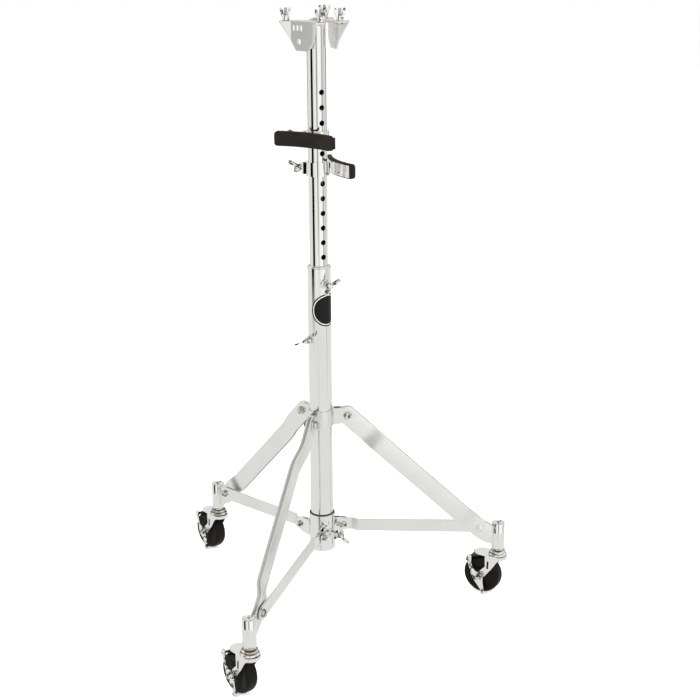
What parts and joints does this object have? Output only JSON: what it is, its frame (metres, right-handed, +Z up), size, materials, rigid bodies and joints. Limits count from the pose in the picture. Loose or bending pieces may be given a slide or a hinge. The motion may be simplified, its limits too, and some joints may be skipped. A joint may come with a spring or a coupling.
{
  "type": "double conga stand",
  "caption": "Rolling tripod stand with a telescoping post, top clamp brackets and padded curved rests that carry hand drums side by side.",
  "frame": {"origin": "middle of the bounding box at floor level", "axes": "+Z up along the post, -Y towards the front, +X to the right"},
  "size_m": [0.6288, 0.6696, 1.133],
  "materials": {
    "chrome": "bright plated steel",
    "zinc": "zinc plated steel",
    "pad_rubber": "matt moulded rubber",
    "wheel_black": "satin hard rubber",
    "black_nylon": "matt nylon"
  },
  "bodies": {
    "post": {"outer_tube": "chrome", "tube_bush": "black_nylon", "leg_bracket": "chrome", "leg_pivot_bolt_front": "zinc", "leg_pivot_bolt_right": "zinc", "leg_pivot_bolt_left": "zinc"},
    "mast": {"mast_tube": "chrome", "mast_foot_bush": "black_nylon", "mast_cap": "chrome", "head_screw": "zinc", "head_bracket_left": "chrome", "head_bracket_right": "chrome"},
    "collar": {"collar": "chrome", "collar_pin_front": "zinc", "collar_pin_right": "zinc", "collar_pin_left": "zinc"},
    "leg_front": {"leg_bar_front": "chrome", "foot_tube_front": "chrome", "caster_head_front": "zinc"},
    "strut_front": {"strut_front": "chrome", "strut_bolt_front": "zinc"},
    "fork_front": {"caster_fork_front": "chrome", "axle_bolt_front": "zinc"},
    "wheel_front": {"wheel_front": "wheel_black"},
    "brake_front": {"brake_lever_front": "chrome"},
    "leg_right": {"leg_bar_right": "chrome", "foot_tube_right": "chrome", "caster_head_right": "zinc"},
    "strut_right": {"strut_right": "chrome", "strut_bolt_right": "zinc"},
    "fork_right": {"caster_fork_right": "chrome", "axle_bolt_right": "zinc"},
    "wheel_right": {"wheel_right": "wheel_black"},
    "brake_right": {"brake_lever_right": "chrome"},
    "leg_left": {"leg_bar_left": "chrome", "foot_tube_left": "chrome", "caster_head_left": "zinc"},
    "strut_left": {"strut_left": "chrome", "strut_bolt_left": "zinc"},
    "fork_left": {"caster_fork_left": "chrome", "axle_bolt_left": "zinc"},
    "wheel_left": {"wheel_left": "wheel_black"},
    "brake_left": {"brake_lever_left": "chrome"},
    "rest_upper": {"rest_collar_upper": "chrome", "rest_band_upper": "chrome", "rest_pad_upper": "pad_rubber"},
    "rest_screw_upper": {"rest_screw_upper": "chrome"},
    "rest_lower": {"rest_collar_lower": "chrome", "rest_band_lower": "chrome", "rest_pad_lower": "pad_rubber"},
    "rest_screw_lower": {"rest_screw_lower": "chrome"},
    "height_screw_upper": {"height_screw_upper": "chrome"},
    "height_screw_lower": {"height_screw_lower": "chrome"},
    "collar_screw": {"collar_screw": "chrome"},
    "wing_nut_left_a": {"wing_nut_left_a": "chrome"},
    "wing_nut_left_b": {"wing_nut_left_b": "chrome"},
    "wing_nut_right_a": {"wing_nut_right_a": "chrome"},
    "wing_nut_right_b": {"wing_nut_right_b": "chrome"}
  },
  "joints": [
    {"name": "mast_height", "type": "slide", "parent": "post", "child": "mast", "axis": [0, 0, 1], "range_m": [-0.12, 0.08]},
    {"name": "leg_fold_front", "type": "hinge", "parent": "post", "child": "leg_front", "pos_m": [-0.06361, -0.03848, 0.3947], "axis": [0.9311, -0.3649, 0], "range_deg": [0, 30]},
    {"name": "leg_fold_right", "type": "hinge", "parent": "post", "child": "leg_right", "pos_m": [0.00177, 0.01371, 0.3947], "axis": [-0.1495, 0.9888, 0], "range_deg": [0, 30]},
    {"name": "leg_fold_left", "type": "hinge", "parent": "post", "child": "leg_left", "pos_m": [-0.07612, 0.04424, 0.3947], "axis": [-0.7815, -0.6239, 0], "range_deg": [0, 30]},
    {"name": "collar_slide", "type": "slide", "parent": "post", "child": "collar", "axis": [0, 0, 1], "range_m": [0, 0.1229]},
    {"name": "strut_turn_front", "type": "hinge", "parent": "collar", "child": "strut_front", "pos_m": [-0.0615, -0.03308, 0.1695], "axis": [0.9311, -0.3649, 0], "range_deg": [0, 61.41]},
    {"name": "caster_swivel_front", "type": "hinge", "parent": "leg_front", "child": "fork_front", "pos_m": [-0.17187, -0.31472, 0.08], "axis": [0, 0, 1], "continuous": true},
    {"name": "wheel_spin_front", "type": "hinge", "parent": "fork_front", "child": "wheel_front", "pos_m": [-0.19103, -0.29164, 0.0375], "axis": [-0.7694, -0.6388, 0], "continuous": true},
    {"name": "brake_press_front", "type": "hinge", "parent": "fork_front", "child": "brake_front", "pos_m": [-0.19103, -0.29164, 0.0375], "axis": [-0.7694, -0.6388, 0], "range_deg": [0, 18]},
    {"name": "strut_turn_right", "type": "hinge", "parent": "collar", "child": "strut_right", "pos_m": [-0.00397, 0.01284, 0.1695], "axis": [-0.1495, 0.9888, 0], "range_deg": [0, 61.41]},
    {"name": "caster_swivel_right", "type": "hinge", "parent": "leg_right", "child": "fork_right", "pos_m": [0.29513, 0.05808, 0.08], "axis": [0, 0, 1], "continuous": true},
    {"name": "wheel_spin_right", "type": "hinge", "parent": "fork_right", "child": "wheel_right", "pos_m": [0.26966, 0.07393, 0.0375], "axis": [-0.5284, -0.849, 0], "continuous": true},
    {"name": "brake_press_right", "type": "hinge", "parent": "fork_right", "child": "brake_right", "pos_m": [0.26966, 0.07393, 0.0375], "axis": [-0.5284, -0.849, 0], "range_deg": [0, 18]},
    {"name": "strut_turn_left", "type": "hinge", "parent": "collar", "child": "strut_left", "pos_m": [-0.0725, 0.0397, 0.1695], "axis": [-0.7815, -0.6239, 0], "range_deg": [0, 61.41]},
    {"name": "caster_swivel_left", "type": "hinge", "parent": "leg_left", "child": "fork_left", "pos_m": [-0.26123, 0.27611, 0.08], "axis": [0, 0, 1], "continuous": true},
    {"name": "wheel_spin_left", "type": "hinge", "parent": "fork_left", "child": "wheel_left", "pos_m": [-0.28039, 0.2992, 0.0375], "axis": [-0.7694, -0.6388, 0], "continuous": true},
    {"name": "brake_press_left", "type": "hinge", "parent": "fork_left", "child": "brake_left", "pos_m": [-0.28039, 0.2992, 0.0375], "axis": [-0.7694, -0.6388, 0], "range_deg": [0, 18]},
    {"name": "rest_slide_upper", "type": "slide", "parent": "mast", "child": "rest_upper", "axis": [0, 0, 1], "range_m": [0, 0.1]},
    {"name": "rest_slide_lower", "type": "slide", "parent": "mast", "child": "rest_lower", "axis": [0, 0, 1], "range_m": [-0.03, 0.012]},
    {"name": "rest_screw_turn_upper", "type": "hinge", "parent": "rest_upper", "child": "rest_screw_upper", "pos_m": [-0.07544, 0.02022, 0.911], "axis": [-0.9063, 0.4226, 0], "continuous": true},
    {"name": "rest_screw_turn_lower", "type": "hinge", "parent": "rest_lower", "child": "rest_screw_lower", "pos_m": [-0.07544, 0.02022, 0.857], "axis": [-0.9063, 0.4226, 0], "continuous": true},
    {"name": "height_screw_turn_upper", "type": "hinge", "parent": "post", "child": "height_screw_upper", "pos_m": [-0.02939, -0.02226, 0.652], "axis": [0.5, -0.866, 0], "continuous": true},
    {"name": "height_screw_turn_lower", "type": "hinge", "parent": "post", "child": "height_screw_lower", "pos_m": [-0.06733, -0.01894, 0.549], "axis": [-0.6428, -0.766, 0], "continuous": true},
    {"name": "collar_screw_turn", "type": "hinge", "parent": "collar", "child": "collar_screw", "pos_m": [-0.0165, -0.01416, 0.163], "axis": [0.8192, -0.5736, 0], "continuous": true},
    {"name": "wing_nut_left_a_turn", "type": "hinge", "parent": "mast", "child": "wing_nut_left_a", "pos_m": [-0.09681, -0.00144, 1.1118], "axis": [0, 0, 1], "continuous": true},
    {"name": "wing_nut_left_b_turn", "type": "hinge", "parent": "mast", "child": "wing_nut_left_b", "pos_m": [-0.0376, -0.04062, 1.1118], "axis": [0, 0, 1], "continuous": true},
    {"name": "wing_nut_right_a_turn", "type": "hinge", "parent": "mast", "child": "wing_nut_right_a", "pos_m": [-0.00546, -0.01483, 1.1118], "axis": [0, 0, 1], "continuous": true},
    {"name": "wing_nut_right_b_turn", "type": "hinge", "parent": "mast", "child": "wing_nut_right_b", "pos_m": [-0.0309, 0.05146, 1.1118], "axis": [0, 0, 1], "continuous": true}
  ],
  "couplings": [
    {"joint": "leg_fold_right", "follows": "leg_fold_front", "ratio": 1},
    {"joint": "leg_fold_left", "follows": "leg_fold_front", "ratio": 1},
    {"joint": "collar_slide", "follows": "leg_fold_front", "m_per_rad": 0.23436},
    {"joint": "strut_turn_front", "follows": "leg_fold_front", "ratio": 2.0452},
    {"joint": "strut_turn_right", "follows": "leg_fold_front", "ratio": 2.0452},
    {"joint": "strut_turn_left", "follows": "leg_fold_front", "ratio": 2.0452}
  ]
}
